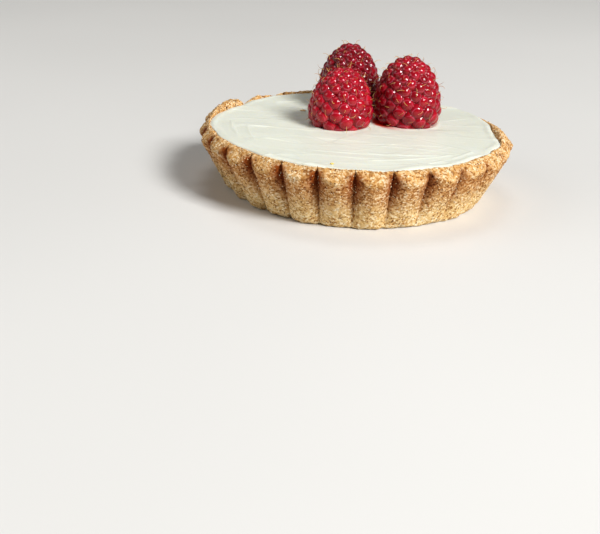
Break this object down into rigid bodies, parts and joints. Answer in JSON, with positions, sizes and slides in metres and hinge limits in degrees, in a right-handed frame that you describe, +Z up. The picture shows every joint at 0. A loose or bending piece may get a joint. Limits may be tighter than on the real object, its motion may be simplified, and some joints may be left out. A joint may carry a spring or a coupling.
{
  "type": "berry tart",
  "caption": "Small round fluted pastry tart filled level with white cream, with whole raspberries standing on top.",
  "frame": {"origin": "centre of the tart's flat base, where it rests", "axes": "+Z up through the filling; the side that the picture shows faces -Y, with +X to its right"},
  "size_m": [0.1003, 0.0997, 0.0408],
  "materials": {
    "wholegrain_pastry": "dry, crumbly baked wholegrain pastry, golden tan with dark and pale flecks",
    "cream_filling": "smooth off-white cream with soft palette-knife marks and a low sheen",
    "raspberry": "deep red moist drupelets with pale bloom at their edges and fine golden hairs"
  },
  "bodies": {
    "root": {"crust": "wholegrain_pastry", "cream": "cream_filling", "raspberry_front": "raspberry", "raspberry_right": "raspberry", "raspberry_back": "raspberry"}
  },
  "joints": []
}
